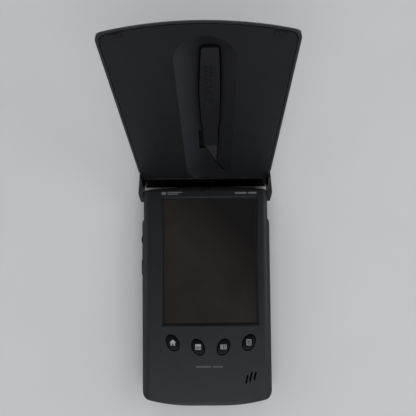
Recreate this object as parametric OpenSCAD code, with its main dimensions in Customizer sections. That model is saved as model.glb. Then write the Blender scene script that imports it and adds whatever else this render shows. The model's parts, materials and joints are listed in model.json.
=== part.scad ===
// Pocket organiser: a display and keys in a slim two-part case, with a flip cover that carries the stylus.
// It lies on its flat back. X runs across the case, Y towards the hinge, Z out of the face.
// The origin is the centre of the back. The cover's parts are drawn shut and then swung open.

/* [Case] */
// Width across the sides
case_w = 79; // [78:0.5:82]
// Length from the bowed foot to the bowed head
case_l = 133; // [132:0.5:136]
// Thickness from the back to the face
case_t = 13; // [13:0.1:14]
// Thickness of the case walls
wall = 1.4; // [1.2:0.1:1.6]
// Depth of the step on each side that the hinge arms lie in
step_d = 1.6; // [1.5:0.1:1.8]
// Length of that step below the head
step_l = 18.8; // [18.6:0.1:19.4]
// Height of the joint line between the two case halves
split_z = 6; // [5.8:0.1:6]

/* [Display] */
// Width of the picture
picture_w = 57.6; // [56:0.1:58]
// Length of the picture
picture_l = 76.8; // [75:0.1:78]
// How far the display sits to the right of the middle
display_x = 2.5; // [2:0.1:3]
// Distance of the display's middle above the middle of the case
display_y = 20.8; // [20:0.1:21]

/* [Keys] */
// Long axis of a face key
key_l = 10; // [9.6:0.1:10.8]
// Short axis of a face key
key_w = 7; // [6.6:0.1:7.6]
// Width of the dished ring round each face key
key_ring = 0.45; // [0.4:0.05:0.7]
// Lean of each key from upright
key_lean = 28; // [20:1:32]
// Spacing of the keys across the face
key_pitch = 15.3; // [14.6:0.1:15.6]
// Height of the lowest point of the bowed row of keys
key_row_y = -31.2; // [-32:0.1:-30.5]
// Travel of a face key
key_travel = 0.6; // [0.4:0.1:0.6]

/* [Cover] */
// How far the cover is drawn open, from shut
open_angle = 112; // [0:1:180]
// Width of the cover across its sides
cover_w = 78.6; // [78:0.1:79]
// Thickness of the cover away from its raised back
cover_t = 2.7; // [2.5:0.1:3]
// Gap between the face and the shut cover
cover_gap = 0.3; // [0.3:0.1:0.5]
// Height of the raised back behind the stylus
bulge_h = 3.6; // [3.5:0.1:3.9]
// Depth of the finger dish beside the stylus
dish_d = 2.2; // [1.8:0.1:2.3]
// Half width of the finger dish
dish_half_w = 13; // [12:0.5:14]

/* [Stylus] */
// Length from the end cap to the point
stylus_l = 85; // [84:0.5:86]
// Thickness of the flat barrel
stylus_t = 3.2; // [2.8:0.1:3.3]

/* [Hidden] */
$fn = 48;

// Case outline
foot_y = -case_l / 2;
head_y = case_l / 2;
neck_w = case_w - 2 * step_d;
step_y = head_y - step_l;
foot_bow_r = 145;
head_bow_r = 300;
foot_corner_r = 5;
head_corner_r = 2.5;
bow_fn = 360;
far = 200;

// Edge roundings of the case
shoulder_r = 5.5;
back_edge_r = 2;
head_front_r = 3.6;
head_back_r = 3.4;
foot_front_r = 3;
foot_back_r = 2.5;

// Levels inside the case, from the face down
face_under = case_t - wall;
gasket_z = face_under - 0.4;
glass_z = gasket_z - 0.7;
lcd_z = glass_z - 1.6;
backlight_z = lcd_z - 1.2;
frame_z = backlight_z - 0.4;
frame_top = display_y + picture_l / 2 + 2.3;
board_t = 1;
board_top = split_z + board_t;

// Hinge
pivot_y = head_y - 5;
pivot_z = case_t / 2;
pin_r = 1;
run_fit = 0.05;
bush_r = 1.9;
bush_in = 33.6;
bush_out = 37.3;
boss_half = 3.2;
boss_top = pivot_z + 2.8;
washer_in = 33;
washer_r = 1.65;
arm_in = neck_w / 2 + 0.3;
arm_out = 41.3;
arm_r = 4.2;
relief_r = 7.25;
lip_end = 71;
head_r = 1.8;
head_in = 39.6;

// Cover levels, drawn shut
inner_z = case_t + cover_gap;
outer_z = inner_z + cover_t;
skin_t = 0.9;
tab_t = 0.6;
skin_z = outer_z - skin_t;
rim_w = 1.1;
groove_w = 0.35;
cover_top_y = pivot_y - 8.2;
cover_edge_r = 1.5;
cover_lip = 0.4;
pad_w = 4.8;
pad_l = 2;
pad_x = 31;

// The raised back is a slice of a long round bar with ball ends
bulge_r = 36;
bulge_z = outer_z + bulge_h - bulge_r;
bulge_foot = pivot_y - 107.5;
bulge_head = pivot_y - 26;

// The finger dish is hollowed by a round bar of this radius
dish_r = (dish_half_w * dish_half_w + dish_d * dish_d) / (2 * dish_d);
dish_z = inner_z + dish_d - dish_r;
dish_foot = pivot_y - 108;
dish_head = pivot_y - 20;

// Stylus, drawn in its channel, with lengths along it measured from the pivot
tip_s = 30;
neck_s = 45;
join_s = 64.1;
cap_s = tip_s + stylus_l;
stylus_z = inner_z + 0.1;
channel_z = inner_z + 0.1 + stylus_t + 0.2;

// Rows of smaller features
key_x = [for (k = [-1.5, -0.5, 0.5, 1.5]) k * key_pitch];
key_bow_r = 88;
mic_slots = [[24, -50, 4.2], [26.4, -48.7, 5.2], [28.9, -48.3, 3.8]];
slot_w = 1.1;
slot_lean = -14;
lamp_x = 0.4;
lamp_r = 3.4;

// Small controls and ports
pill_r = 1.1;
pill_fit = 0.15;
power_x = 27.5;
power_z = 8.8;
power_half = 2.2;
record_y = 17;
record_z = 8;
record_half = 3.5;
jog = [-34.8, 34];
jog_r = 5;
jog_bore = 0.8;
window_x = [-31, -22];
window_z = [7.2, 9.8];
jack_x = 22.5;
jack_z = 9.1;
power_jack_r = 2.6;
earphone_hole_r = 2;
earphone_r = 1.3;
dock_half = 12.4;
dock_z = [7.4, 10.4];
contact_pitch = 0.85;
card_x = -2.5;
card_half = 21.4;
card_z = [2.2, 5.5];
speaker_at = [27, 13];
reset_at = [-20, 2];

// Screws
screw_foot = [31.5, -55.5];
screw_head = [30.5, 50];
post_r = 2.4;
pilot_r = 0.95;

// ---- Shared shapes ----

module block(low, high) {
    translate(low) cube(high - low);
}

module along_x(x0, x1) {
    translate([x0, 0, 0]) rotate([90, 0, 90]) linear_extrude(x1 - x0) children();
}

module along_y(y0, y1) {
    translate([0, y1, 0]) rotate([90, 0, 0]) linear_extrude(y1 - y0) children();
}

module rod_x(r, x0, x1) {
    translate([x0, 0, 0]) rotate([0, 90, 0]) cylinder(h = x1 - x0, r = r);
}

module rod_y(r, y0, y1) {
    translate([0, y1, 0]) rotate([90, 0, 0]) cylinder(h = y1 - y0, r = r);
}

module plate(w, l, z0, z1, x = 0, y = 0) {
    translate([x - w / 2, y - l / 2, z0]) cube([w, l, z1 - z0]);
}

module soften(r, inset) {
    offset(r = r) offset(delta = -r - inset) children();
}

// Sides w apart, side steps and bowed foot, running on past the head
module foot_outline(w) {
    intersection() {
        union() {
            translate([-w / 2, -far]) square([w, far + step_y]);
            translate([-neck_w / 2, -far]) square([neck_w, 2 * far]);
        }
        translate([0, foot_y + foot_bow_r]) circle(r = foot_bow_r, $fn = bow_fn);
    }
}

// Narrow neck and bowed head, running on past the foot
module head_outline() {
    intersection() {
        union() {
            translate([-far, -far]) square([2 * far, far + step_y]);
            translate([-neck_w / 2, -far]) square([neck_w, 2 * far]);
        }
        translate([0, head_y - head_bow_r]) circle(r = head_bow_r, $fn = 2 * bow_fn);
    }
}

module case_outline(inset) {
    intersection() {
        soften(foot_corner_r, inset) foot_outline(case_w);
        soften(head_corner_r, inset) head_outline();
    }
}

module side_profile(inset) {
    hull() {
        translate([head_y - head_front_r, case_t - head_front_r]) circle(r = head_front_r - inset);
        translate([head_y - head_back_r, head_back_r]) circle(r = head_back_r - inset);
        translate([foot_y + foot_front_r, case_t - foot_front_r]) circle(r = foot_front_r - inset);
        translate([foot_y + foot_back_r, foot_back_r]) circle(r = foot_back_r - inset);
    }
}

module front_profile(inset) {
    hull() for (side = [-1, 1]) {
        translate([side * (case_w / 2 - shoulder_r), case_t - shoulder_r]) circle(r = shoulder_r - inset);
        translate([side * (case_w / 2 - back_edge_r), back_edge_r]) circle(r = back_edge_r - inset);
    }
}

// The whole case as one solid, drawn in by inset all round
module case_solid(inset = 0) {
    intersection() {
        linear_extrude(2 * case_t) case_outline(inset);
        along_x(-case_w, case_w) side_profile(inset);
        along_y(-case_l, case_l) front_profile(inset);
    }
}

module key_oval(grow = 0) {
    polygon([for (a = [0:7.5:352.5]) [(key_w / 2 + grow) * cos(a), (key_l / 2 + grow) * sin(a)]]);
}

function key_at(x) = [display_x + x, key_row_y + x * x / (2 * key_bow_r), 0];

module at_key(x) {
    translate(key_at(x)) rotate(x < 0 ? key_lean : -key_lean) children();
}

module at_screws() {
    for (side = [-1, 1], p = [screw_foot, screw_head]) translate([side * p.x, p.y, 0]) children();
}

module at_pivot() {
    translate([0, pivot_y, pivot_z]) children();
}

// Swings what is drawn shut to the drawn opening
module on_cover() {
    at_pivot() rotate([-open_angle, 0, 0]) translate([0, -pivot_y, -pivot_z]) children();
}

// ---- Case ----

// Section of the display opening for a half width of half: upright below, then spread by a bevel at the face
module window_section(half) {
    bevel = 0.9;
    low = face_under - 1;
    knee = case_t - bevel;
    polygon([
        [-half, low], [half, low], [half, knee], [half + bevel + 1, case_t + 1],
        [-half - bevel - 1, case_t + 1], [-half, knee]
    ]);
}

module screen_window() {
    translate([display_x, display_y, 0]) intersection() {
        along_y(-far, far) window_section(picture_w / 2);
        along_x(-far, far) window_section(picture_l / 2);
    }
}

module mic_slot(p) {
    translate([p.x, p.y, 0]) rotate(slot_lean) {
        translate([-slot_w / 2, -p.z / 2, 0]) cube([slot_w, p.z, far]);
        for (end = [-1, 1]) translate([0, end * p.z / 2, 0]) cylinder(h = far, d = slot_w);
    }
}

module lamp_cutter(r) {
    translate([lamp_x, head_y - 0.3, board_top + 2]) cylinder(h = case_t, r = r);
}

module power_pill(grow, y0, y1) {
    r = pill_r + grow;
    for (side = [-1, 1]) translate([power_x + side * power_half, 0, power_z]) rod_y(r, y0, y1);
    block([power_x - power_half, y0, power_z - r], [power_x + power_half, y1, power_z + r]);
}

module record_pill(grow, x0, x1) {
    r = pill_r + grow;
    for (side = [-1, 1]) translate([0, record_y + side * record_half, record_z]) rod_x(r, x0, x1);
    block([x0, record_y - record_half, record_z - r], [x1, record_y + record_half, record_z + r]);
}

module infrared_slot(grow) {
    block([window_x[0] - grow, 60, window_z[0] - grow], [window_x[1] + grow, far, window_z[1] + grow]);
}

module jack_hole(x, r) {
    translate([x, 0, jack_z]) rod_y(r, foot_y - 1, foot_y + 6);
}

// The earphone hole is open down to the split line, and a tab of the rear case closes it from below
module jack_gate(gap, z0, z1) {
    half = earphone_hole_r - gap;
    block([-jack_x - half, foot_y - 1, z0], [-jack_x + half, foot_y + 6, z1]);
}

module hinge_bosses(z0, z1) {
    intersection() {
        case_solid(wall / 2);
        for (side = [0, 1]) mirror([side, 0, 0])
            block([bush_in, pivot_y - boss_half, z0], [neck_w / 2, head_y, z1]);
    }
}

module bush_holes() {
    at_pivot() rod_x(bush_r, -far, far);
}

module front_case() {
    color([0.17, 0.18, 0.2]) difference() {
        union() {
            difference() {
                intersection() {
                    case_solid();
                    block([-far, -far, split_z], [far, far, far]);
                }
                case_solid(wall);
            }
            hinge_bosses(split_z, boss_top);
            for (side = [-1, 1])
                translate([side * screw_foot.x, screw_foot.y, board_top])
                    cylinder(h = face_under - board_top, r = post_r);
        }
        screen_window();
        for (x = key_x) at_key(x) {
            translate([0, 0, face_under - 1]) linear_extrude(far) key_oval(0.25);
            translate([0, 0, case_t - 0.3]) linear_extrude(far) key_oval(key_ring);
        }
        for (p = mic_slots) translate([0, 0, face_under - 1]) mic_slot(p);
        lamp_cutter(lamp_r);
        power_pill(pill_fit, pivot_y, far);
        record_pill(pill_fit, -far, -37.2);
        infrared_slot(0.05);
        block([-far, jog.y - 4.6, 7.4], [-36, jog.y + 4.6, 10]);
        block([-dock_half - 0.2, -far, dock_z[0]], [dock_half + 0.2, foot_y + 5, dock_z[1]]);
        jack_hole(jack_x, power_jack_r);
        jack_hole(-jack_x, earphone_hole_r);
        jack_gate(0, split_z - 1, jack_z);
        for (side = [-1, 1]) translate([side * screw_foot.x, screw_foot.y, 0]) cylinder(h = 10, r = pilot_r);
        bush_holes();
    }
}

module door_plate(gap) {
    w = 52 - 2 * gap;
    top = -11 - gap;
    tongue = 0.8;
    translate([-w / 2, -far, -1]) cube([w, far + top, wall + 1 - gap / 2]);
    translate([-w / 2 - tongue, -far, 0.45 + gap]) cube([w + 2 * tongue, far + top, 0.6 - 2 * gap]);
}

module rear_case() {
    seam = 0.3;
    color([0.13, 0.14, 0.15]) difference() {
        union() {
            difference() {
                intersection() {
                    case_solid();
                    block([-far, -far, -1], [far, far, split_z]);
                }
                case_solid(wall);
                translate([0, 0, split_z - seam]) linear_extrude(1) difference() {
                    square(far, center = true);
                    case_outline(seam);
                }
            }
            hinge_bosses(wall, split_z);
            intersection() {
                difference() {
                    case_solid();
                    case_solid(wall);
                }
                jack_gate(0.1, split_z - 2, jack_z - earphone_hole_r);
            }
            at_screws() translate([0, 0, wall]) cylinder(h = split_z - wall, r = post_r);
        }
        door_plate(0);
        at_screws() {
            translate([0, 0, -1]) cylinder(h = far, r = 1);
            translate([0, 0, -1]) cylinder(h = 2.3, r = 2.1);
        }
        for (ring = [0, 1, 2], k = [0:max(6 * ring - 1, 0)])
            translate([speaker_at.x, speaker_at.y, -1]) rotate(ring == 0 ? 0 : 60 * k / ring)
                translate([2.1 * ring, 0, 0]) cylinder(h = 3, r = 0.6);
        translate([reset_at.x, reset_at.y, -1]) cylinder(h = 3, r = 0.8);
        translate([card_x, 0, 0])
            block([-card_half - 0.3, 60, card_z[0] - 0.2], [card_half + 0.3, far, card_z[1] + 0.3]);
        bush_holes();
    }
}

module battery_door() {
    gap = 0.12;
    color([0.13, 0.14, 0.15]) difference() {
        intersection() {
            case_solid();
            door_plate(gap);
        }
        for (k = [0:4]) block([-8, -20 - 1.6 * k, -1], [8, -19.2 - 1.6 * k, 0.35]);
    }
}

module battery_pack() {
    color([0.2, 0.22, 0.3]) difference() {
        plate(50, 42, wall + 0.1, 5.6, 0, -33);
        for (k = [-1, 0, 1]) block([5 * k - 1, -13, 3], [5 * k + 1, -12 + 1, 4.6]);
    }
}

module battery_contacts() {
    color([0.85, 0.68, 0.3]) for (k = [-1, 0, 1]) {
        block([5 * k - 0.8, -11.8, 3.2], [5 * k + 0.8, -9, 3.5]);
        block([5 * k - 0.8, -9.3, 3.5], [5 * k + 0.8, -9, split_z]);
    }
}

// ---- Display ----

module display_ring(outer, inner, z0, z1) {
    difference() {
        plate(picture_w + 2 * outer, picture_l + 2 * outer, z0, z1, display_x, display_y);
        plate(picture_w + 2 * inner, picture_l + 2 * inner, z0 - 1, z1 + 1, display_x, display_y);
    }
}

module display_gasket() {
    color([0.08, 0.08, 0.09]) display_ring(2, 0.5, gasket_z, face_under);
}

module touch_panel() {
    color([0.16, 0.14, 0.13]) plate(picture_w + 4, picture_l + 4, glass_z, gasket_z, display_x, display_y);
}

module lcd_panel() {
    color([0.25, 0.24, 0.2]) plate(picture_w + 3, picture_l + 3, lcd_z, glass_z, display_x, display_y);
}

module backlight() {
    color([0.9, 0.9, 0.86]) plate(picture_w + 3, picture_l + 3, backlight_z, lcd_z, display_x, display_y);
}

module display_frame() {
    color([0.7, 0.71, 0.72]) difference() {
        plate(picture_w + 4.6, picture_l + 4.6, frame_z, glass_z, display_x, display_y);
        plate(picture_w + 3.2, picture_l + 3.2, backlight_z, far, display_x, display_y);
        plate(24, 4, backlight_z + 0.2, lcd_z + 1, display_x, display_y - picture_l / 2 - 2);
        // the corner is relieved round the hinge's washer and pin
        at_pivot() rod_x(washer_r + 0.2, washer_in - 0.7, far);
    }
}

module display_flex() {
    out_y = display_y - picture_l / 2 - 3.2;
    in_y = display_y - picture_l / 2 - 1.7;
    film_t = 0.2;
    color([0.75, 0.5, 0.15]) along_x(display_x - 10, display_x + 10)
        polygon([
            [in_y, lcd_z + 0.3], [out_y, lcd_z + 0.3], [out_y, board_top], [out_y - 3, board_top],
            [out_y - 3, board_top + film_t], [out_y - film_t, board_top + film_t],
            [out_y - film_t, lcd_z + 0.3 + film_t], [in_y, lcd_z + 0.3 + film_t]
        ]);
}

// ---- Electronics ----

module main_board() {
    color([0.1, 0.36, 0.2]) difference() {
        plate(68, 115, split_z, board_top, 0, -1.5);
        at_screws() cylinder(h = far, r = 1.2);
        for (side = [-1, 1]) translate([side * 34, 56, 0]) cylinder(h = far, r = 3);
    }
}

module processor_chip() {
    color([0.1, 0.1, 0.11]) plate(13, 13, split_z - 1.2, split_z, 4, 14);
}

module memory_chips() {
    color([0.1, 0.1, 0.11]) for (y = [6, 19]) plate(10, 9, split_z - 1, split_z, -12, y);
}

module backup_cell() {
    color([0.75, 0.76, 0.77]) translate([-27, 14, split_z - 2.6]) cylinder(h = 2.6, r = 5);
}

module reset_switch() {
    color([0.2, 0.2, 0.2]) {
        plate(4, 4, split_z - 1.6, split_z, reset_at.x, reset_at.y);
        translate([reset_at.x, reset_at.y, 2.4]) cylinder(h = split_z - 4, r = 0.6);
    }
}

module key_domes() {
    color([0.8, 0.8, 0.78]) for (x = key_x)
        translate([key_at(x).x, key_at(x).y, board_top]) cylinder(h = 0.6, r1 = 2.8, r2 = 1.6);
}

module key_membrane() {
    z = board_top + 0.7;
    color([0.55, 0.56, 0.58]) {
        plate(54.5, 9.5, z, z + 0.4, display_x, key_row_y + 1.6);
        for (x = key_x) translate([key_at(x).x, key_at(x).y, z + 0.4]) cylinder(h = 0.4, r = 1.8);
    }
}

module face_key(k) {
    stem_z = board_top + 1.55 + key_travel;
    color([0.05, 0.05, 0.06]) at_key(key_x[k]) {
        translate([0, 0, face_under - 0.2]) linear_extrude(wall + 0.2 - 0.35) key_oval();
        translate([0, 0, case_t - 0.35]) linear_extrude(0.2) key_oval(-0.25);
        translate([0, 0, case_t - 0.15]) linear_extrude(0.15) key_oval(-0.7);
        translate([0, 0, face_under - 1]) linear_extrude(0.8) key_oval(0.8);
        translate([0, 0, stem_z]) cylinder(h = face_under - 1 - stem_z, r = 1.2);
    }
}

module key_home() {
    face_key(0);
}

module key_calendar() {
    face_key(1);
}

module key_contacts() {
    face_key(2);
}

module key_tasks() {
    face_key(3);
}

module power_key() {
    color([0.05, 0.05, 0.06]) {
        power_pill(0, 62.6, head_y - 0.7);
        block([power_x - 4, 62.2, power_z - 1.6], [power_x + 4, 62.8, power_z + 1.6]);
    }
}

module record_key() {
    color([0.05, 0.05, 0.06]) {
        record_pill(0, -case_w / 2 - 0.2, -37.2);
        block([-37.6, record_y - 5, record_z - 1.25], [-37, record_y + 5, record_z + 1.25]);
    }
}

module side_switches() {
    color([0.75, 0.75, 0.74]) {
        block([power_x - 2, frame_top, 7.7], [power_x + 2, frame_top + 0.3, 10]);
        block([-36.4, record_y - 2.5, board_top], [-32, record_y + 2.5, board_top + 2]);
    }
}

module jog_carrier() {
    color([0.3, 0.3, 0.32]) {
        block([-37.6, jog.y - 4, board_top + 0.05], [-30.2, jog.y + 4, board_top + 0.45]);
        translate([jog.x, jog.y, board_top + 0.45]) cylinder(h = 2.5, r = jog_bore);
    }
}

module jog_wheel() {
    ribs = 36;
    color([0.05, 0.05, 0.06]) translate([jog.x, jog.y, board_top + 0.65]) difference() {
        cylinder(h = 2, r = jog_r);
        translate([0, 0, -1]) cylinder(h = 4, r = jog_bore + run_fit);
        for (k = [0:ribs - 1]) rotate(360 * k / ribs) {
            translate([jog_r + 0.1, 0, -1]) cylinder(h = 4, r = 0.25);
        }
    }
}

module card_slot() {
    color([0.78, 0.79, 0.8]) difference() {
        block([card_x - 22.6, 28, 1.6], [card_x + 22.6, 63.2, 5.9]);
        block([card_x - 21.6, 28.8, 2.05], [card_x + 21.6, far, 5.65]);
        block([card_x - 15, 34, 1], [card_x + 15, 58, 3]);
    }
}

module card_blank() {
    color([0.06, 0.06, 0.07]) {
        intersection() {
            block([card_x - card_half, 29.2, card_z[0]], [card_x + card_half, head_y + 1, card_z[1]]);
            translate([0, head_y + 0.4 - head_bow_r, 0]) cylinder(h = far, r = head_bow_r, $fn = bow_fn);
        }
    }
}

module dock_connector() {
    color([0.12, 0.12, 0.13]) difference() {
        block([-dock_half, foot_y + 1.2, 7.5], [dock_half, foot_y + 9, 10.2]);
        block([1 - dock_half, foot_y, 8.2], [dock_half - 1, foot_y + 7, 9.6]);
    }
    color([0.85, 0.68, 0.3]) for (k = [-12:12])
        translate([contact_pitch * k, foot_y, 8.1]) block([-0.2, 3, 0], [0.2, 7.2, 0.3]);
}

module power_jack() {
    color([0.1, 0.1, 0.11]) translate([jack_x, 0, jack_z]) difference() {
        block([-3.4, foot_y + 5.1, board_top - jack_z], [3.4, foot_y + 14, 2.4]);
        rod_y(1.7, foot_y, foot_y + 12);
    }
    color([0.8, 0.8, 0.8]) translate([jack_x, 0, jack_z]) rod_y(0.6, foot_y + 5.5, foot_y + 12.5);
}

module earphone_jack() {
    color([0.1, 0.1, 0.11]) translate([-jack_x, 0, jack_z]) difference() {
        block([-3, foot_y + 5.1, board_top - jack_z], [3, foot_y + 17, 2.3]);
        rod_y(earphone_r, foot_y, foot_y + 15);
    }
}

module speaker() {
    color([0.15, 0.15, 0.16]) translate([speaker_at.x, speaker_at.y, wall]) {
        cylinder(h = 2.6, r = 8);
        translate([0, 0, 2.6]) cylinder(h = 0.9, r = 5);
    }
}

module microphone() {
    color([0.7, 0.7, 0.7]) translate([26.4, -49, board_top]) cylinder(h = 2.2, r = 3);
}

module infrared_window() {
    color([0.2, 0.02, 0.04]) intersection() {
        difference() {
            case_solid();
            case_solid(wall);
        }
        infrared_slot(0);
    }
}

module status_lamp() {
    color([0.1, 0.1, 0.1]) intersection() {
        case_solid(0.05);
        lamp_cutter(lamp_r - 0.05);
        block([-10, head_y - 3.8, 9.1], [10, head_y, case_t]);
    }
}

module case_screws() {
    color([0.7, 0.7, 0.72]) for (side = [-1, 1], p = [screw_foot, screw_head])
        translate([side * p.x, p.y, 0]) difference() {
            union() {
                translate([0, 0, 0.4]) cylinder(h = 0.9, r = 1.9);
                translate([0, 0, 1.3]) cylinder(h = (p == screw_foot ? 9.6 : board_top + 0.2) - 1.3, r = 0.9);
            }
            for (turn = [0, 90]) rotate(turn) block([-1.2, -0.2, 0], [1.2, 0.2, 0.9]);
        }
}

// ---- Hinge ----

module hinge_bush(side) {
    color([0.72, 0.6, 0.35]) at_pivot() mirror([side < 0 ? 1 : 0, 0, 0]) difference() {
        rod_x(bush_r, bush_in, bush_out);
        rod_x(pin_r + run_fit, bush_in - 1, bush_out + 1);
    }
}

module hinge_bush_left() {
    hinge_bush(-1);
}

module hinge_bush_right() {
    hinge_bush(1);
}

module hinge_pin(side) {
    color([0.75, 0.75, 0.76]) on_cover() at_pivot() mirror([side < 0 ? 1 : 0, 0, 0]) {
        rod_x(pin_r, washer_in - 0.4, head_in);
        rod_x(head_r, head_in, head_in + 0.7);
    }
}

module hinge_pin_left() {
    hinge_pin(-1);
}

module hinge_pin_right() {
    hinge_pin(1);
}

module friction_washers() {
    color([0.8, 0.8, 0.8]) on_cover() at_pivot() for (side = [0, 1]) mirror([side, 0, 0]) difference() {
        rod_x(washer_r, washer_in, bush_in - 0.1);
        rod_x(pin_r, washer_in - 1, bush_in + 1);
    }
}

// Side view of an arm, with y and z measured from the pivot
module arm_side() {
    hull() {
        circle(r = arm_r);
        translate([-14, inner_z - pivot_z + 0.1]) square([11.6, cover_t - 0.1]);
        translate([-13, inner_z - pivot_z - 2]) circle(r = 1);
    }
}

// End view of an arm, with z measured from the pivot
module arm_end() {
    low = -arm_r - 0.2;
    deck = inner_z - pivot_z + 0.05;
    top = outer_z - pivot_z;
    in = neck_w / 2 + 0.05;
    polygon([
        [arm_in, low], [arm_out - 1.1, low], [arm_out - 0.2, low + 3], [arm_out, low + 5], [arm_out, deck],
        [arm_out - 1.5, top], [in, top], [in, deck], [arm_in, deck]
    ]);
}

// Plan of an arm, with y measured from the pivot
module arm_plan() {
    polygon([
        [arm_in - 1, -far], [cover_w / 2 + 0.1, -far], [cover_w / 2 + 0.2, -13], [arm_out - 0.6, -8],
        [arm_out, -4], [arm_out, 1], [arm_out - 0.5, arm_r], [arm_out - 0.5, far], [arm_in - 1, far]
    ]);
}

module hinge_lip() {
    reach = outer_z - pivot_z;
    along_x(-arm_in, arm_in) intersection() {
        difference() {
            circle(r = reach, $fn = 120);
            circle(r = relief_r, $fn = 120);
        }
        polygon([[0, 0], [0, far], [far * cos(lip_end), far * sin(lip_end)]]);
    }
}

module hinge_yoke() {
    tab_y = cover_top_y - 9.5;
    color([0.04, 0.04, 0.05]) on_cover() difference() {
        union() {
            at_pivot() {
                hinge_lip();
                for (side = [0, 1]) mirror([side, 0, 0]) intersection() {
                    along_x(arm_in - 1, arm_out) arm_side();
                    along_y(-far, far) arm_end();
                    translate([0, 0, -far]) linear_extrude(2 * far) arm_plan();
                }
            }
            block([-arm_in, cover_top_y + 0.05, pivot_z + relief_r], [arm_in, pivot_y, outer_z]);
            block([-33, tab_y, skin_z - tab_t], [-15, cover_top_y + 0.05, skin_z]);
            block([20, tab_y, skin_z - tab_t], [33, cover_top_y + 0.05, skin_z]);
        }
        at_pivot() rod_x(pin_r, -far, far);
        at_pivot() for (side = [0, 1]) mirror([side, 0, 0]) rod_x(head_r + 0.05, head_in, far);
    }
}

// ---- Cover, drawn shut ----

module cover_outline(inset) {
    intersection() {
        soften(foot_corner_r, inset) foot_outline(cover_w);
        translate([-far, -far]) square([2 * far, far + cover_top_y - inset]);
    }
}

// A cone about the middle of the foot's bow, through two points given as [distance in from the foot, height]
module foot_cone(low, high) {
    slope = (high.x - low.x) / (high.y - low.y);
    base = foot_bow_r - low.x + slope * low.y;
    h = outer_z + 1;
    translate([0, foot_y + foot_bow_r, 0]) cylinder(h = h, r1 = base, r2 = base - slope * h, $fn = bow_fn);
}

// Trims the far end of the cover to a thin lip, with the crown lowered by drop
module crown(drop) {
    intersection() {
        foot_cone([0, inner_z + cover_lip - drop], [1.6, outer_z - 0.9 - drop]);
        foot_cone([1.6, outer_z - 0.9 - drop], [6.5, outer_z - drop]);
    }
}

module cover_solid() {
    intersection() {
        translate([0, 0, inner_z]) linear_extrude(cover_t) cover_outline(0);
        crown(0);
        along_y(-far, far) hull() for (side = [-1, 1]) {
            translate([side * (cover_w / 2 - 0.5) - 0.5, inner_z]) square([1, 0.5]);
            translate([side * (cover_w / 2 - cover_edge_r), outer_z - cover_edge_r]) circle(r = cover_edge_r);
        }
    }
}

// A slice above floor_z of a round bar with ball ends
module long_slice(r, z, y0, y1, floor_z, half_w) {
    intersection() {
        union() {
            translate([display_x, 0, z]) rod_y(r, y0, y1);
            for (y = [y0, y1]) translate([display_x, y, z]) sphere(r = r);
        }
        block([display_x - half_w, y0 - half_w, floor_z], [display_x + half_w, y1 + half_w, far]);
    }
}

module cover_shell() {
    color([0.5, 0.51, 0.5]) on_cover() difference() {
        union() {
            cover_solid();
            long_slice(bulge_r, bulge_z, bulge_foot, bulge_head, outer_z - 0.5, 17);
        }
        intersection() {
            translate([0, 0, inner_z - 1]) linear_extrude(skin_z - inner_z + 1) cover_outline(rim_w);
            crown(skin_t);
        }
        long_slice(bulge_r - 1, bulge_z, bulge_foot, bulge_head, skin_z - 0.3, 17);
        block([-33.2, cover_top_y - 2, skin_z - tab_t], [-14.8, cover_top_y + 1, skin_z]);
        block([19.8, cover_top_y - 2, skin_z - tab_t], [33.2, cover_top_y + 1, skin_z]);
    }
}

// A point of the stylus plan: x across the cover and s along it from the pivot
function at_s(x, s) = [x, pivot_y - s];

module barrel_plan() {
    soften(1.4, 0) polygon([
        at_s(1, cap_s), at_s(7.9, cap_s), at_s(8.4, 100), at_s(8.6, 88), at_s(8.2, 70), at_s(8, 60),
        at_s(-0.2, 60), at_s(-0.4, 70), at_s(-0.6, 88), at_s(0, 100)
    ]);
}

module grip_plan() {
    polygon([
        at_s(7.8, 66), at_s(7.6, 54), at_s(7.7, neck_s), at_s(0.6, neck_s), at_s(0.3, 54), at_s(0, 66)
    ]);
}

module tip_plan() {
    polygon([
        at_s(7.5, neck_s), at_s(7.3, 38), at_s(6.7, 31.2), at_s(6.3, tip_s),
        at_s(5.8, 31), at_s(3.4, 39.4), at_s(0.8, neck_s)
    ]);
}

module stylus_plan() {
    barrel_plan();
    grip_plan();
    tip_plan();
}

module channel_cutter() {
    offset(delta = 0.5) stylus_plan();
    polygon([at_s(-2.2, 57), at_s(4, 57), at_s(4, 40.3), at_s(-2.2, 40.3)]);
}

module channel_tail() {
    hull() {
        translate(at_s(5.8, 35)) circle(r = 1.6);
        translate(at_s(7.1, 26.5)) circle(r = 1.5);
    }
    hull() {
        translate(at_s(7.1, 26.5)) circle(r = 1.5);
        translate(at_s(11, 18.5)) circle(r = 0.8);
    }
}

module cover_liner() {
    gap = 0.1;
    color([0.13, 0.13, 0.14]) on_cover() difference() {
        union() {
            intersection() {
                translate([0, 0, inner_z]) linear_extrude(skin_z - inner_z) cover_outline(rim_w + groove_w);
                crown(skin_t + 0.02);
            }
            long_slice(bulge_r - 1 - gap, bulge_z, bulge_foot, bulge_head, skin_z - 0.5, 17);
        }
        long_slice(dish_r, dish_z, dish_foot, dish_head, inner_z - 1, dish_half_w + 2);
        translate([0, 0, inner_z - 1]) linear_extrude(channel_z - inner_z + 1) channel_cutter();
        translate([0, 0, inner_z - 1]) linear_extrude(2.6 + 1) channel_tail();
        block([-33.2, cover_top_y - 9.7, skin_z - tab_t], [-14.8, far, far]);
        block([19.8, cover_top_y - 9.7, skin_z - tab_t], [33.2, far, far]);
        bumper_pads(0.05, inner_z - 1, inner_z + 0.8);
    }
}

// Two pads that follow the bow just inside the far edge
module bumper_pads(grow, z0, z1) {
    mid_r = foot_bow_r - rim_w - groove_w - 0.5 - pad_l / 2;
    for (side = [-1, 1])
        translate([0, foot_y + foot_bow_r, 0]) rotate(side * asin(pad_x / mid_r)) translate([0, -mid_r, 0])
            block([-pad_w / 2 - grow, -pad_l / 2 - grow, z0], [pad_w / 2 + grow, pad_l / 2 + grow, z1]);
}

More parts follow.
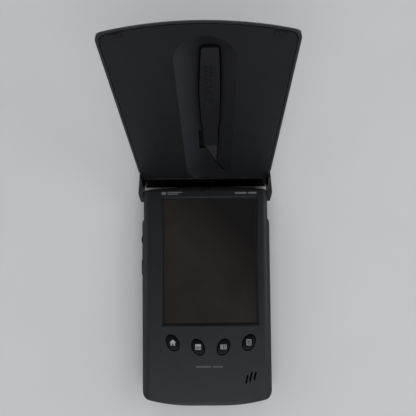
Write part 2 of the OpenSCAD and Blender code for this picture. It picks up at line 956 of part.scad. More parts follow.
module cover_bumpers() {
    color([0.03, 0.03, 0.03]) on_cover() bumper_pads(0, inner_z - 0.2, inner_z + 0.8);
}

// ---- Stylus ----

module stylus_barrel() {
    color([0.1, 0.1, 0.11]) on_cover() intersection() {
        translate([0, 0, stylus_z]) linear_extrude(stylus_t) barrel_plan();
        block([-10, -far, 0], [20, pivot_y - join_s, far]);
    }
}

module stylus_grip() {
    color([0.08, 0.08, 0.09]) on_cover() intersection() {
        translate([0, 0, stylus_z + 0.3]) linear_extrude(stylus_t - 0.6) grip_plan();
        block([-10, pivot_y - join_s, 0], [20, pivot_y - neck_s, far]);
    }
}

module stylus_tip() {
    color([0.2, 0.2, 0.21]) on_cover() translate([0, 0, stylus_z + 0.6])
        linear_extrude(stylus_t - 1.2) tip_plan();
}

front_case();
rear_case();
battery_door();
battery_pack();
battery_contacts();
display_gasket();
touch_panel();
lcd_panel();
backlight();
display_frame();
display_flex();
main_board();
processor_chip();
memory_chips();
backup_cell();
reset_switch();
key_domes();
key_membrane();
key_home();
key_calendar();
key_contacts();
key_tasks();
power_key();
record_key();
side_switches();
jog_carrier();
jog_wheel();
card_slot();
card_blank();
dock_connector();
power_jack();
earphone_jack();
speaker();
microphone();
infrared_window();
status_lamp();
case_screws();
hinge_bush_left();
hinge_bush_right();
hinge_pin_left();
hinge_pin_right();
friction_washers();
hinge_yoke();
cover_shell();
cover_liner();
cover_bumpers();
stylus_barrel();
stylus_grip();
stylus_tip();
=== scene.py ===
"""A pocket organiser lying open on a pale floor, seen from above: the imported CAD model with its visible
parts refined and every surface finished. Lengths named _mm and all piece coordinates are millimetres."""

import json
import math

import bmesh
import bpy
from mathutils import Matrix, Vector
from mathutils.bvhtree import BVHTree


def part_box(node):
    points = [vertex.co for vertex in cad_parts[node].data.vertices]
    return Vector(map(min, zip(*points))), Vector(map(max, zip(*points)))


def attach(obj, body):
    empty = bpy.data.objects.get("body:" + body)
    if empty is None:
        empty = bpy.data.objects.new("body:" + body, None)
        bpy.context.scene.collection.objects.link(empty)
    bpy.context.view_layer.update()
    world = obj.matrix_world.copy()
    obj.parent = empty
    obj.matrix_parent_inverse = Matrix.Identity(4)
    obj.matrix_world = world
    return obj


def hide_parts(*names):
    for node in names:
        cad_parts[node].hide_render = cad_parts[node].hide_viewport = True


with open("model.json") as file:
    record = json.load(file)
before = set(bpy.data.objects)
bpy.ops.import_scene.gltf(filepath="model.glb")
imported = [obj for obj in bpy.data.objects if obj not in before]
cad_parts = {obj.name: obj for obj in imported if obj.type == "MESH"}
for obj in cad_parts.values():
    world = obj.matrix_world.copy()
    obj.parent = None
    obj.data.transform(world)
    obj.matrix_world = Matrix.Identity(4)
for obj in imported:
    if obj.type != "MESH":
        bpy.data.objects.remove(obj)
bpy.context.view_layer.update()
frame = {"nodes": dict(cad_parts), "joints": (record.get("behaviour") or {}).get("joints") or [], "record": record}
NODES = frame["nodes"]
MM = 0.001
scene = bpy.context.scene

# ---- Camera ----
CAMERA_AT_MM = Vector((5.295, 41.663, 272.481))
CAMERA_TURNS = (("Z", 0.587), ("X", -2.503), ("Y", -0.801))
SENSOR_WIDTH = 36
FRAME_PIXELS = 416
FOCAL_PIXELS = 424.98


def make_camera():
    data = bpy.data.cameras.new("camera")
    cam = bpy.data.objects.new("camera", data)
    scene.collection.objects.link(cam)
    look = Matrix.Identity(3)
    for axis, degrees in CAMERA_TURNS:
        look = look @ Matrix.Rotation(math.radians(degrees), 3, axis)
    cam.matrix_world = Matrix.Translation(CAMERA_AT_MM * MM) @ look.transposed().to_4x4()
    data.sensor_width = SENSOR_WIDTH
    data.lens = SENSOR_WIDTH * FOCAL_PIXELS / FRAME_PIXELS
    data.clip_start, data.clip_end = 0.01, 20
    scene.camera = cam


make_camera()

# ---- Light ----
AIM = Vector((0, 0.03, 0.03))
WORLD_COLOUR = (0.96, 0.98, 1, 1)
WORLD_STRENGTH = 0.2
# name, place, width and height, watts
LIGHTS = (
    ("front_box", (0.05, -0.75, 0.95), (1.6, 0.75), 6.8),
    ("left_box", (-1.15, 0.1, 0.5), (0.9, 0.6), 1.5),
    ("right_box", (1.15, 0.1, 0.7), (0.9, 0.6), 4.0),
    ("low_strip", (0, -1.3, 0.22), (1.5, 0.2), 1.6),
    ("back_box", (0, 1.3, 0.45), (1.4, 0.5), 5.0),
)


def area_light(name, at, size, power):
    data = bpy.data.lights.new(name, "AREA")
    data.shape = "RECTANGLE"
    data.size, data.size_y = size
    data.energy = power
    lamp = bpy.data.objects.new(name, data)
    scene.collection.objects.link(lamp)
    lamp.location = at
    lamp.rotation_mode = "QUATERNION"
    lamp.rotation_quaternion = (AIM - Vector(at)).to_track_quat("-Z", "Y")


def make_light():
    scene.view_settings.view_transform = "Standard"
    world = bpy.data.worlds.new("studio")
    scene.world = world
    world.use_nodes = True
    background = world.node_tree.nodes["Background"]
    background.inputs["Color"].default_value = WORLD_COLOUR
    background.inputs["Strength"].default_value = WORLD_STRENGTH
    for light in LIGHTS:
        area_light(*light)


make_light()

# ---- Materials ----
BEVEL_SAMPLES = 4
HOLLOW_SAMPLES = 6
KEEN = 0.86


class Nodes:
    """Short names for building one material's node tree."""

    def __init__(self, name):
        self.material = bpy.data.materials.new(name)
        self.material.use_nodes = True
        self.tree = self.material.node_tree
        self.shader = self.tree.nodes["Principled BSDF"]
        self.where = self.new("ShaderNodeTexCoord").outputs["Object"]

    def new(self, kind, **settings):
        node = self.tree.nodes.new(kind)
        for key, value in settings.items():
            setattr(node, key, value)
        return node

    def put(self, socket, value):
        if isinstance(value, bpy.types.NodeSocket):
            self.tree.links.new(value, socket)
        else:
            socket.default_value = value

    def scaled(self, size_mm, stretch):
        """Object coordinates counted in features of size_mm, stretched by a factor on each axis."""
        space = self.new("ShaderNodeMapping")
        self.put(space.inputs["Vector"], self.where)
        space.inputs["Scale"].default_value = [1000 / size_mm / s for s in stretch]
        return space.outputs["Vector"]

    def noise(self, size_mm, detail=2.0, stretch=(1, 1, 1), rough=0.5, distortion=0.0):
        """Noise whose features are about size_mm across."""
        space = self.scaled(size_mm, stretch)
        node = self.new("ShaderNodeTexNoise")
        self.put(node.inputs["Vector"], space)
        node.inputs["Scale"].default_value = 1
        node.inputs["Detail"].default_value = detail
        node.inputs["Roughness"].default_value = rough
        node.inputs["Distortion"].default_value = distortion
        return node.outputs["Fac"]

    def cells(self, size_mm):
        space = self.scaled(size_mm, (1, 1, 1))
        node = self.new("ShaderNodeTexVoronoi")
        self.put(node.inputs["Vector"], space)
        node.inputs["Scale"].default_value = 1
        return node.outputs["Distance"]

    def math(self, operation, a, b=0.0, clamp=False):
        node = self.new("ShaderNodeMath", operation=operation, use_clamp=clamp)
        self.put(node.inputs[0], a)
        self.put(node.inputs[1], b)
        return node.outputs[0]

    def span(self, value, low, high, to_low=0.0, to_high=1.0):
        """value mapped from low..high to to_low..to_high, held at the ends."""
        node = self.new("ShaderNodeMapRange")
        self.put(node.inputs["Value"], value)
        ends = (("From Min", low), ("From Max", high), ("To Min", to_low), ("To Max", to_high))
        for key, number in ends:
            node.inputs[key].default_value = number
        return node.outputs["Result"]

    def mix(self, factor, a, b, blend="MIX"):
        node = self.new("ShaderNodeMix", data_type="RGBA", blend_type=blend)
        self.put(node.inputs["Factor"], factor)
        for socket, colour in ((node.inputs[6], a), (node.inputs[7], b)):
            self.put(socket, (*colour, 1) if isinstance(colour, (tuple, list)) else colour)
        return node.outputs[2]

    def tinted(self, colour, tone):
        return self.mix(1.0, colour, tone, "MULTIPLY")

    def part(self, axis):
        """One of the object coordinates, in metres."""
        node = self.new("ShaderNodeSeparateXYZ")
        self.put(node.inputs[0], self.where)
        return node.outputs[axis]

    def softened(self, radius_mm):
        """The normal as it would be with edges rounded to a radius."""
        bevel = self.new("ShaderNodeBevel", samples=BEVEL_SAMPLES)
        bevel.inputs["Radius"].default_value = radius_mm * MM
        return bevel.outputs["Normal"]

    def edges(self, radius_mm, keen=KEEN):
        """0 on flat ground and towards 1 on sharp edges; a higher keen catches softer edges."""
        soft = self.softened(radius_mm)
        ground = self.new("ShaderNodeNewGeometry")
        dot = self.new("ShaderNodeVectorMath", operation="DOT_PRODUCT")
        self.put(dot.inputs[0], soft)
        self.put(dot.inputs[1], ground.outputs["Normal"])
        return self.span(dot.outputs["Value"], 0.996 + (keen - KEEN) * 0.03, keen)

    def side_light_tint(self, strength):
        """Painted light: above 1 on slopes that face +X, as if lit from the right, and a little under 1 on slopes
        facing -X.
        """
        lean = self.new("ShaderNodeSeparateXYZ")
        self.put(lean.inputs[0], self.new("ShaderNodeNewGeometry").outputs["Normal"])
        pale = self.span(lean.outputs[0], 0.03, 0.3, 1.0, 1 + strength)
        return self.math("MULTIPLY", pale, self.span(lean.outputs[0], -0.25, -0.03, 0.8, 1.0))

    def hollows(self, reach_mm):
        """1 in the open and towards 0 down in gaps and corners."""
        node = self.new("ShaderNodeAmbientOcclusion", samples=HOLLOW_SAMPLES)
        node.inputs["Distance"].default_value = reach_mm * MM
        return node.outputs["AO"]

    def relief(self, height, depth_mm, soft_mm=0.0):
        """Bump of the given depth, over edges softened to a small radius."""
        bump = self.new("ShaderNodeBump")
        bump.inputs["Strength"].default_value = 1.0
        bump.inputs["Distance"].default_value = depth_mm * MM
        self.put(bump.inputs["Height"], height)
        if soft_mm:
            self.put(bump.inputs["Normal"], self.softened(soft_mm))
        self.put(self.shader.inputs["Normal"], bump.outputs["Normal"])

    def finish(self, colour, rough, **plain):
        self.put(self.shader.inputs["Base Color"], colour)
        self.put(self.shader.inputs["Roughness"], rough)
        for key, value in plain.items():
            self.shader.inputs[key.replace("_", " ")].default_value = value
        return self.material


def moulding(name, colour, rough, grain_mm=0.22, grain_depth=0.012, wear=0.5, hollow_shade=0.5, spec=0.5, reach=1.6,
             far=26, keen=KEEN, side_light=0.0):
    """Moulded plastic: spark grain, faint mottle and handling marks, rubbed edges, and painted shade in hollows
    and under nearby large parts. A raised keen also paints a highlight line along soft rims, and the side setting
    paints slopes facing +X lighter, as if lit from the right.
    """
    n = Nodes(name)
    worn = tuple(c * 1.8 + 0.008 for c in colour)
    # shaded: the colour used for painted shade, a fifth of the base
    shaded = tuple(c * 0.2 for c in colour)
    cloud = n.noise(14, 3, rough=0.6, distortion=0.6)
    fine = n.noise(1.1, 2)
    tone = n.math("ADD", n.span(cloud, 0.3, 0.7, 0.88, 1.12), n.span(fine, 0.3, 0.7, -0.04, 0.04))
    base = n.tinted(colour, tone)
    # painted light: slopes facing +X lighter and slopes facing -X darker, as if lit from the right
    if side_light:
        base = n.tinted(base, n.side_light_tint(side_light))
    # lighter rubbed edges: wear, and where keen is raised, as on the liner's dish rim, also a painted highlight
    # line
    patches = n.span(n.noise(2.3, 3, rough=0.7), 0.42, 0.62, 0.15, 1.0)
    broken = n.math("MULTIPLY", n.edges(0.3, keen), patches)
    base = n.mix(n.math("MULTIPLY", broken, wear, True), base, worn)
    # painted shade: colour darkened down in gaps and corners, by the hollow shade setting
    gaps = n.math("MULTIPLY", n.span(n.hollows(reach), 0.85, 0.3), hollow_shade, True)
    open_air = n.math("SUBTRACT", 1.0, gaps)
    # painted shade: darker where large parts stand nearby within the far reach, such as the face under the raised
    # cover
    open_air = n.math("MULTIPLY", open_air, n.span(n.hollows(far), 0.66, 0.97, 0.08, 1.0))
    base = n.mix(open_air, shaded, base)
    smudge = n.span(n.noise(9, 2, (1, 1.7, 1), distortion=1.2), 0.45, 0.7, 0.0, -0.07)
    dull = n.math("ADD", n.math("ADD", rough, smudge), n.span(fine, 0.3, 0.7, -0.03, 0.03))
    dull = n.math("SUBTRACT", dull, n.math("MULTIPLY", broken, 0.08))
    dull = n.math("MAXIMUM", dull, n.span(open_air, 0.25, 0.9, 1.0, 0.3))
    n.relief(n.cells(grain_mm), grain_depth, 0.18)
    return n.finish(base, dull, Specular_IOR_Level=spec)


def gloss(name, colour, rough, soft_mm=0.18, spec=0.5):
    """Polished dark plastic with hair scratches and finger film."""
    n = Nodes(name)
    film = n.noise(6, 3, (1, 1.6, 1), 0.65, 1.0)
    hair = n.span(n.noise(0.5, 2, (14, 1, 1), 0.6), 0.58, 0.66)
    cross = n.span(n.noise(0.45, 2, (1, 12, 1), 0.6), 0.6, 0.67)
    lines = n.math("MULTIPLY", n.math("MAXIMUM", hair, cross), 0.5, True)
    base = n.tinted(colour, n.span(film, 0.3, 0.7, 0.85, 1.15))
    rubbed = n.math("MULTIPLY", n.edges(0.25), n.span(n.noise(1.7, 3), 0.45, 0.6, 0.1, 1.0))
    base = n.mix(n.math("MULTIPLY", rubbed, 0.25, True), base, tuple(c * 3 + 0.02 for c in colour))
    filmy = n.span(film, 0.35, 0.75, rough - 0.04, rough + 0.1)
    dull = n.math("ADD", filmy, n.math("MULTIPLY", lines, 0.18))
    n.relief(n.math("ADD", n.noise(0.9, 2), n.math("MULTIPLY", lines, -0.6)), 0.006, soft_mm)
    return n.finish(base, dull, Specular_IOR_Level=spec)


def painted(name, colour, worn):
    """Satin metallic paint: fine flake, orange peel, chipped edges, light rubbing and painted shade in hollows."""
    n = Nodes(name)
    sparkle = n.span(n.cells(0.09), 0.15, 0.6, 1.35, 0.65)
    cloud = n.span(n.noise(22, 3, rough=0.6), 0.3, 0.7, 0.9, 1.1)
    base = n.tinted(n.tinted(colour, sparkle), cloud)
    patches = n.span(n.noise(1.9, 4, rough=0.75), 0.47, 0.58, 0.12, 1.0)
    chips = n.math("MULTIPLY", n.edges(0.35), patches)
    base = n.mix(n.math("MULTIPLY", chips, 0.7, True), base, worn)
    # painted shade: darker down in hollows and gaps
    gaps = n.math("MULTIPLY", n.span(n.hollows(2), 0.7, 0.2), 0.5, True)
    base = n.mix(gaps, base, tuple(c * 0.3 for c in colour))
    rubbed = n.span(n.noise(12, 3, (1, 2.2, 1), 0.6, 1.5), 0.5, 0.75, 0.0, -0.1)
    dull = n.math("ADD", n.math("ADD", 0.38, rubbed), n.span(n.noise(0.6), 0.3, 0.7, -0.03, 0.03))
    n.relief(n.noise(0.7, 2, rough=0.6), 0.012, 0.25)
    return n.finish(base, dull, Metallic=0.35, Specular_IOR_Level=0.5)


def metal(name, colour, rough=0.28):
    """Turned or rolled metal with fine tool lines and slight tarnish."""
    n = Nodes(name)
    lines = n.noise(0.35, 3, (1, 1, 8), 0.7)
    stain = n.noise(4, 3, rough=0.7, distortion=0.8)
    base = n.mix(n.span(stain, 0.5, 0.75, 0.0, 0.55), colour, tuple(c * 0.55 for c in colour))
    base = n.tinted(base, n.span(lines, 0.3, 0.7, 0.88, 1.12))
    tooled = n.span(lines, 0.3, 0.7, rough - 0.06, rough + 0.08)
    dull = n.math("ADD", tooled, n.span(stain, 0.5, 0.8, 0, 0.15))
    n.relief(lines, 0.008, 0.1)
    return n.finish(base, dull, Metallic=1.0)


def display_glass(name):
    """The dark display: a smooth film over faint dot rows, with a black border near the window's edge and painted
    shade that darkens it towards the head and the right.
    """
    n = Nodes(name)
    dot, line_from, line_to = 0.24 * MM, 0.01 * MM, 0.04 * MM
    border_from, border_to = 2.95 * MM, 2.85 * MM
    # painted shade: the tint fades to near black over this distance towards the head and the right
    fade_from, fade_to = -4 * MM, 34 * MM
    up, right = 0.75, 0.9
    low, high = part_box("touch_panel")
    mid, half = (low + high) / 2, (high - low) / 2
    across = n.math("ABSOLUTE", n.math("SUBTRACT", n.part(0), mid.x))
    along = n.math("ABSOLUTE", n.math("SUBTRACT", n.part(1), mid.y))
    border = n.math("MAXIMUM", n.span(across, half.x - border_from, half.x - border_to),
                    n.span(along, half.y - border_from, half.y - border_to))
    rows = [n.span(n.math("PINGPONG", n.part(k), dot / 2), line_from, line_to, 0.72, 1.0) for k in (0, 1)]
    dots = n.math("MULTIPLY", rows[0], rows[1])
    cloud = n.span(n.noise(26, 2, distortion=0.4), 0.35, 0.65)
    tint = n.mix(cloud, (0.017, 0.012, 0.009), (0.024, 0.017, 0.0135))
    shade = n.math("ADD", n.math("MULTIPLY", n.part(1), up), n.math("MULTIPLY", n.part(0), right))
    painted_shade = n.span(shade, mid.y * up + fade_from, mid.y * up + fade_to)
    tint = n.mix(painted_shade, tint, (0.003, 0.0018, 0.0014))
    base = n.mix(border, n.tinted(tint, dots), (0.006, 0.006, 0.007))
    film = n.noise(15, 4, (1, 1.4, 1), 0.6, 1.4)
    scuffs = n.span(n.noise(0.6, 2, (16, 1, 1), 0.6), 0.6, 0.68)
    dull = n.math("ADD", n.span(film, 0.4, 0.75, 0.07, 0.16), n.math("MULTIPLY", scuffs, 0.06))
    n.relief(n.noise(1.5, 2), 0.002, 0.1)
    return n.finish(base, dull, Specular_IOR_Level=0.5)


def printed(name, colour, rough=0.5):
    """Pad-printed ink with a slightly patchy film."""
    n = Nodes(name)
    patch = n.span(n.noise(0.5, 3, rough=0.7), 0.3, 0.7, 0.82, 1.08)
    n.relief(n.noise(0.2), 0.004)
    dull = n.span(n.noise(0.8), 0.3, 0.7, rough - 0.08, rough + 0.08)
    return n.finish(n.tinted(colour, patch), dull)


def board(name):
    """Green solder mask with darker traces and plated holes."""
    n = Nodes(name)
    lanes = n.span(n.noise(1.6, 1, (1, 7, 1)), 0.5, 0.53)
    across = n.span(n.noise(1.5, 1, (7, 1, 1)), 0.52, 0.55)
    base = n.mix(n.math("MAXIMUM", lanes, across), (0.02, 0.13, 0.06), (0.035, 0.2, 0.09))
    base = n.mix(n.span(n.cells(3.1), 0.12, 0.09), base, (0.6, 0.42, 0.16))
    n.relief(lanes, 0.03, 0.05)
    return n.finish(base, n.span(n.noise(2), 0.3, 0.7, 0.25, 0.4))


def rubber(name, colour):
    """Dull soft rubber or foam with a fine skin."""
    n = Nodes(name)
    base = n.tinted(colour, n.span(n.noise(0.8, 3), 0.3, 0.7, 0.8, 1.2))
    n.relief(n.noise(0.15, 2), 0.02, 0.1)
    return n.finish(base, n.span(n.noise(1.2), 0.3, 0.7, 0.75, 0.9), Specular_IOR_Level=0.3)


def smoked(name, colour):
    """Deeply tinted clear plastic, seen as a dark glassy body."""
    n = Nodes(name)
    depth = n.span(n.noise(2.5, 2), 0.3, 0.7, 0.8, 1.3)
    n.relief(n.noise(1.2), 0.004, 0.12)
    return n.finish(n.tinted(colour, depth), n.span(n.noise(3, 3), 0.3, 0.7, 0.06, 0.16), Coat_Weight=0.6)


SLOT = {
    # case_front: its long far reach paints shade from the raised cover over the face's upper part
    "case_front": moulding("case_front", (0.0048, 0.0062, 0.0088), 0.46, spec=0.35, reach=1.2, far=60),
    "case_back": moulding("case_back", (0.0062, 0.0066, 0.0075), 0.56, grain_mm=0.3, grain_depth=0.02,
                          spec=0.32),
    "black_gloss": gloss("black_gloss", (0.0015, 0.0015, 0.0018), 0.26, spec=0.25),
    "black_matte": moulding("black_matte", (0.008, 0.008, 0.009), 0.5, grain_depth=0.008, wear=0.3),
    "cover_grey": painted("cover_grey", (0.013, 0.0145, 0.016), (0.12, 0.12, 0.118)),
    # liner: its strong hollow shade setting paints deep shade in the stylus channel and dish, its raised keen
    # paints a highlight line along the dish rim, and its side setting paints the dish's +X-facing slope lighter,
    # as if lit from the right
    "liner_black": moulding("liner_black", (0.0055, 0.0059, 0.0072), 0.46, grain_mm=0.2, hollow_shade=0.97, wear=0.6,
                            spec=0.19, reach=3.2, keen=0.975, side_light=2.2),
    "key_black": gloss("key_black", (0.0012, 0.0012, 0.0015), 0.3, soft_mm=0.1, spec=0.12),
    "stylus_dark": moulding("stylus_dark", (0.0055, 0.0058, 0.0068), 0.4, grain_depth=0.006, spec=0.2),
    "screen_glass": display_glass("screen_glass"),
    "lcd_stack": gloss("lcd_stack", (0.1, 0.1, 0.08), 0.2),
    "white_sheet": printed("white_sheet", (0.7, 0.7, 0.66), 0.6),
    "foam": rubber("foam", (0.004, 0.004, 0.0045)),
    "steel": metal("steel", (0.6, 0.6, 0.61)),
    "bronze": metal("bronze", (0.5, 0.36, 0.18), 0.35),
    "gold_contact": metal("gold_contact", (0.8, 0.58, 0.24), 0.22),
    "board_green": board("board_green"),
    "chip_black": moulding("chip_black", (0.012, 0.012, 0.013), 0.55, grain_mm=0.12),
    "cell_wrap": gloss("cell_wrap", (0.03, 0.04, 0.09), 0.25),
    "flex_amber": gloss("flex_amber", (0.35, 0.17, 0.02), 0.25),
    "membrane_grey": rubber("membrane_grey", (0.15, 0.155, 0.16)),
    "window_red": smoked("window_red", (0.02, 0.0015, 0.002)),
    "lamp_smoke": smoked("lamp_smoke", (0.006, 0.006, 0.007)),
}
INK = printed("ink_grey", (0.13, 0.135, 0.14))
ICON_INK = printed("icon_grey", (0.36, 0.38, 0.4), 0.4)
FAINT_INK = printed("faint_ink", (0.06, 0.064, 0.068))

for part in frame["record"]["subparts"]:
    mesh = NODES[part["node"]].data
    mesh.materials.clear()
    mesh.materials.append(SLOT[part["material_slot"]])


# ---- Floor ----
def around_circle(count):
    return [2 * math.pi * k / count for k in range(count)]


def floor_paper():
    """Pale paper that glows a little far out, so that the backdrop stays as pale as the floor."""
    n = Nodes("floor_paper")
    tone = n.span(n.noise(60, 3), 0.3, 0.7, 0.985, 1.015)
    n.relief(n.noise(0.8, 3), 0.02)
    away = n.new("ShaderNodeVectorMath", operation="LENGTH")
    n.put(away.inputs[0], n.where)
    n.put(n.shader.inputs["Emission Strength"], n.span(away.outputs["Value"], 1.0, 2.3, 0.0, 0.3))
    n.shader.inputs["Emission Color"].default_value = (0.97, 0.98, 1, 1)
    return n.finish(n.tinted((0.65, 0.652, 0.655), tone), 0.85)


def make_floor():
    """A flat round floor that bends up into a wall, in metres."""
    drop, flat, bend, top, count, steps, turns = 0.0001, 1.5, 0.9, 1.6, 96, 6, 12
    profile = [(flat * k / steps, -drop) for k in range(1, steps + 1)]
    for k in range(1, turns + 1):
        angle = math.pi / 2 * k / turns
        profile.append((flat + bend * math.sin(angle), bend - bend * math.cos(angle)))
    profile.append((flat + bend, top))
    verts = [(r * math.cos(a), r * math.sin(a), z) for r, z in profile for a in around_circle(count)]
    faces = [tuple(range(count))]
    for ring in range(len(profile) - 1):
        for k in range(count):
            a, b = ring * count + k, ring * count + (k + 1) % count
            faces.append((a, a + count, b + count, b))
    mesh = bpy.data.meshes.new("floor")
    mesh.from_pydata(verts, [], faces)
    for face in mesh.polygons:
        face.use_smooth = True
    mesh.materials.append(floor_paper())
    floor = bpy.data.objects.new("floor", mesh)
    scene.collection.objects.link(floor)


make_floor()


# ---- Helpers for pieces ----
def add_piece(name, verts, faces, body, slot=None, material=None, smooth=30):
    """A mesh piece from millimetre coordinates, finished, shaded and riding on its body."""
    mesh = bpy.data.meshes.new(name)
    mesh.from_pydata([Vector(v) * MM for v in verts], [], faces)
    work = bmesh.new()
    work.from_mesh(mesh)
    bmesh.ops.remove_doubles(work, verts=work.verts, dist=1e-6)
    bmesh.ops.recalc_face_normals(work, faces=work.faces)
    for face in work.faces:
        face.smooth = True
    for edge in work.edges:
        if len(edge.link_faces) == 2 and edge.calc_face_angle() > math.radians(smooth):
            edge.smooth = False
    work.to_mesh(mesh)
    work.free()
    mesh.materials.append(material or SLOT[slot])
    piece = bpy.data.objects.new(name, mesh)
    scene.collection.objects.link(piece)
    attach(piece, body)
    return piece


def loft(rings):
    """Faces that join rings of equal length, with both ends capped."""
    count = len(rings[0])
    last = (len(rings) - 1) * count
    verts = [v for ring in rings for v in ring]
    faces = []
    for r in range(len(rings) - 1):
        for k in range(count):
            a, b = r * count + k, r * count + (k + 1) % count
            faces.append((a, b, b + count, a + count))
    faces.append(tuple(reversed(range(count))))
    faces.append(tuple(range(last, last + count)))
    return verts, faces


def loft_all(bodies):
    """One mesh of several lofts."""
    verts, faces = [], []
    for rings in bodies:
        more, sides = loft(rings)
        faces += [tuple(i + len(verts) for i in side) for side in sides]
        verts += more
    return verts, faces


def surface_of(node):
    mesh = NODES[node].data
    mesh.calc_loop_triangles()
    return BVHTree.FromPolygons([v.co / MM for v in mesh.vertices],
                                [t.vertices[:] for t in mesh.loop_triangles])


def height_below(surface, x, y, start):
    """Height of the first surface straight below a point."""
    return surface.ray_cast(Vector((x, y, start)), Vector((0, 0, -1)))[0].z


# ---- Face keys with their marks ----
KEY_HALF_W, KEY_HALF_L = 3.5, 5.0
# how far each ring of a key's side stands out from its oval, and its height
KEY_SIDE = ((0.8, 10.6), (0.8, 11.35), (0.0, 11.4), (0.0, 12.45), (-0.05, 12.6), (-0.16, 12.71),
            (-0.32, 12.78))
KEY_DOME = (0.85, 0.7, 0.5, 0.3, 0.12)
KEY_TOP = 12.96


def oval(half_w, half_l, lean):
    turn = Matrix.Rotation(math.radians(lean), 2)
    return [turn @ Vector((half_w * math.cos(a), half_l * math.sin(a))) for a in around_circle(64)]


def cap_height(r):
    """Height of a key's dome, with r from 0 at its middle to 1 at its rim."""
    return KEY_TOP - 0.16 * r ** 2.4


def make_key(name, lean):
    low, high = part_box(name)
    mid = (low + high) / 2 / MM
    rings = []
    for grow, z in KEY_SIDE:
        ring = oval(KEY_HALF_W + grow, KEY_HALF_L + grow, lean)
        rings.append([(mid.x + p.x, mid.y + p.y, z) for p in ring])
    for r in KEY_DOME:
        ring = oval(KEY_HALF_W * r, KEY_HALF_L * r, lean)
        rings.append([(mid.x + p.x, mid.y + p.y, cap_height(r)) for p in ring])
    verts, faces = loft(rings)
    cap = add_piece(name + "_cap", verts, faces, name, "key_black", smooth=50)
    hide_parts(name)
    return mid


def bar(x0, y0, x1, y1):
    return [(x0, y0), (x1, y0), (x1, y1), (x0, y1)]


def outline(half_w, y0, y1):
    """Four bars round a box that is centred on x = 0."""
    w = 0.3
    return [bar(-half_w, y0, half_w, y0 + w), bar(-half_w, y1 - w, half_w, y1),
            bar(-half_w, y0 + w, w - half_w, y1 - w), bar(half_w - w, y0 + w, half_w, y1 - w)]


def grid(x, y, w, h, columns, rows, step):
    """Bars of one size set out in columns and rows from a lower left corner."""
    return [bar(x + step * i, y + step * j, x + w + step * i, y + h + step * j)
            for i in range(columns) for j in range(rows)]


def disc(x, y, r):
    return [(x + r * math.cos(a), y + r * math.sin(a)) for a in around_circle(16)]


ROOF = [(-1.95, 0.15), (1.95, 0.15), (0, 1.95)]
HOUSE = [ROOF, bar(-1.35, -1.7, -0.45, 0.15), bar(0.45, -1.7, 1.35, 0.15), bar(-0.45, -0.4, 0.45, 0.15)]
CALENDAR = [bar(-1.7, 0.75, 1.7, 1.7)] + outline(1.7, -1.6, 0.8) + grid(-1.1, -1.05, 0.55, 0.55, 3, 2, 0.85)
SHOULDERS = [(-1.3, -0.8), (-0.2, -0.8), (-0.35, -0.2), (-1.15, -0.2)]
CARD = (outline(1.85, -1.35, 1.35) + [disc(-0.75, 0.35, 0.48), SHOULDERS]
        + grid(0.2, -0.75, 1.05, 0.3, 1, 3, 0.6))
TASKS = (outline(1.4, -1.75, 1.75) + grid(-0.1, -1.05, 0.95, 0.3, 1, 3, 0.85)
         + grid(-0.85, -1.1, 0.4, 0.4, 1, 3, 0.85))


def make_mark(name, shapes, body, height_at, material, thick):
    """Thin raised print made of flat shapes that follow a surface and are sunk a little into it."""
    sunk = 0.05
    verts, faces = [], []
    for shape in shapes:
        base, count = len(verts), len(shape)
        verts += [(x, y, height_at(x, y) - sunk) for x, y in shape]
        verts += [(x, y, height_at(x, y) + thick) for x, y in shape]
        faces.append(tuple(reversed(range(base, base + count))))
        faces.append(tuple(range(base + count, base + 2 * count)))
        for k in range(count):
            nxt = (k + 1) % count
            faces.append((base + k, base + nxt, base + count + nxt, base + count + k))
    add_piece(name, verts, faces, body, material=material, smooth=20)


def make_keys():
    lean = 28
    keys = (("key_home", lean, HOUSE), ("key_calendar", lean, CALENDAR), ("key_contacts", -lean, CARD),
            ("key_tasks", -lean, TASKS))
    for key, turn, shapes in keys:
        mid = make_key(key, turn)

        def dome(x, y):
            return cap_height(min(1, math.hypot(x - mid.x, y - mid.y) / KEY_HALF_L))

        placed = [[(mid.x + x, mid.y + y) for x, y in shape] for shape in shapes]
        make_mark(key + "_mark", placed, key, dome, ICON_INK, 0.02)


make_keys()


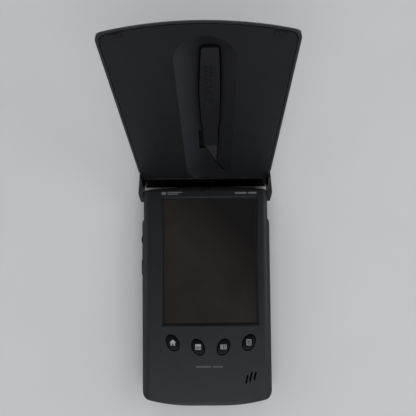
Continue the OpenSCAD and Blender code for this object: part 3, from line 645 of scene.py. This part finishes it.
# ---- Grip ridges on the stylus ----
def make_ridges():
    """Two rows of short raised grip ridges on the stylus, set out on the shut cover and swung open."""
    joint = next(j for j in frame["joints"] if j["name"] == "cover_hinge")
    pivot = Vector(joint["pos_m"]) / MM
    opened = Matrix.Rotation(math.radians(joint["range_deg"][0]), 4, "X")
    swing = Matrix.Translation(pivot) @ opened @ Matrix.Translation(-pivot)
    first, pitch, half, stagger, count = 104.5, 1.55, 0.42, 0.5, 15
    profile = ((0, 13.5), (0, 13.33), (0.14, 13.16))
    gaps = ((12,), (4, 9, 12))
    bodies = []
    for column, (x0, x1) in enumerate(((1.9, 3.2), (4.0, 5.3))):
        for k in range(count):
            if k in gaps[column]:
                continue
            s0 = first - pitch * k - stagger * column
            rings = []
            for inset, z in profile:
                corners = bar(x0 + inset, s0 - half + inset, x1 - inset, s0 + half - inset)
                rings.append([swing @ Vector((x, pivot.y - s, z)) for x, s in corners])
            bodies.append(rings)
    verts, faces = loft_all(bodies)
    add_piece("stylus_ridges", verts, faces, "stylus", "stylus_dark", smooth=20)


make_ridges()


# ---- Generic printed bars on the face ----
def rounded_bar(x0, y0, x1, y1):
    """A bar with half-round ends."""
    count = 5
    r = (y1 - y0) / 2
    ends = [math.pi / 2 - math.pi * k / count for k in range(count + 1)]
    right = [(x1 - r + r * math.cos(a), y0 + r + r * math.sin(a)) for a in ends]
    left = [(x0 + r - r * math.cos(a), y0 + r - r * math.sin(a)) for a in ends]
    return right + left


def make_bars():
    face = surface_of("front_case")
    start, thick = 32, 0.015
    marks = (
        ("maker_bars", INK, ((-26.8, 61.4, -23.9, 63.1), (-23.2, 62.5, -14.1, 63.1),
                             (-23.2, 61.4, -16.4, 62.0))),
        ("model_bars", INK, ((18.1, 61.5, 25.4, 62.6), (26.2, 61.5, 31.5, 62.6))),
        ("lower_bars", FAINT_INK, ((-6.6, -43.1, 2.6, -42.1), (3.4, -43.1, 9.7, -42.1))),
    )
    for name, ink, boxes in marks:
        shapes = [rounded_bar(*box) for box in boxes]
        make_mark(name, shapes, "case", lambda x, y: height_below(face, x, y, start), ink, thick)


make_bars()


# ---- Contact fingers in the dock connector's mouth ----
def make_fingers():
    """A row of thin plated fingers lying on the contacts of the dock connector."""
    low, high = (Vector(v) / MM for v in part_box("dock_connector"))
    surface = surface_of("dock_connector")
    pitch, reach, half, sunk = 0.85, 12, 0.19, 0.05
    mouth = 9.5
    y0, y1 = low.y + 1.9, low.y + 5.6
    mid_y = (y0 + y1) / 2
    profile = ((y0, 0.01), (y0 + 0.3, 0.05), (mid_y, 0.08), (y1, 0.05))
    bodies = []
    for k in range(-reach, reach + 1):
        x = (low.x + high.x) / 2 + pitch * k
        z = height_below(surface, x, mid_y, mouth)
        bodies.append([[(x - half, y, z - sunk), (x + half, y, z - sunk), (x + half, y, z + rise),
                        (x - half, y, z + rise)] for y, rise in profile])
    verts, faces = loft_all(bodies)
    add_piece("dock_fingers", verts, faces, "case", "gold_contact", smooth=25)


make_fingers()
